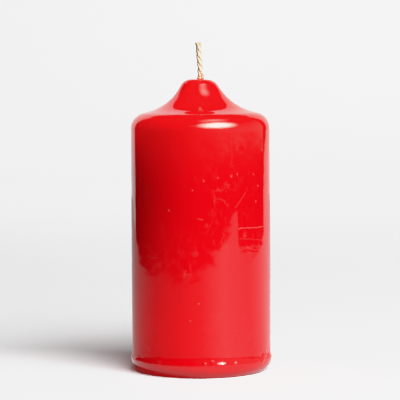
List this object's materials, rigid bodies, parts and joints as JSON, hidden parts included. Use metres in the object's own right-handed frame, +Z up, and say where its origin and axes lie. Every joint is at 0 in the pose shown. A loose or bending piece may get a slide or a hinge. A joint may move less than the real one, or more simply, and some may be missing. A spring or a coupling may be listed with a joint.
{
  "type": "pillar candle",
  "caption": "Overdipped pillar candle with a cone tip, sloping shoulder and beaded foot, and a stub of twisted cotton wick.",
  "frame": {"origin": "centre of the base, on the face that the candle stands on", "axes": "+Z up along the candle's axis to the wick; +Y away from the viewer; +X to the viewer's right, so the wick's end leans towards -X"},
  "size_m": [0.071, 0.071, 0.1652],
  "materials": {
    "core_wax": "pale undyed paraffin wax, satin",
    "coat_wax": "dyed wax, glossy lacquered surface",
    "wick_cotton": "unbleached twisted cotton, waxed at the root",
    "clip_tinplate": "thin tinned steel, stamped",
    "plug_wax": "poured sealing wax, satin"
  },
  "bodies": {
    "root": {"wax_core": "core_wax", "colour_coat": "coat_wax", "wick_strand_1": "wick_cotton", "wick_strand_2": "wick_cotton", "wick_strand_3": "wick_cotton", "wick_clip": "clip_tinplate", "base_plug": "plug_wax"}
  },
  "joints": []
}
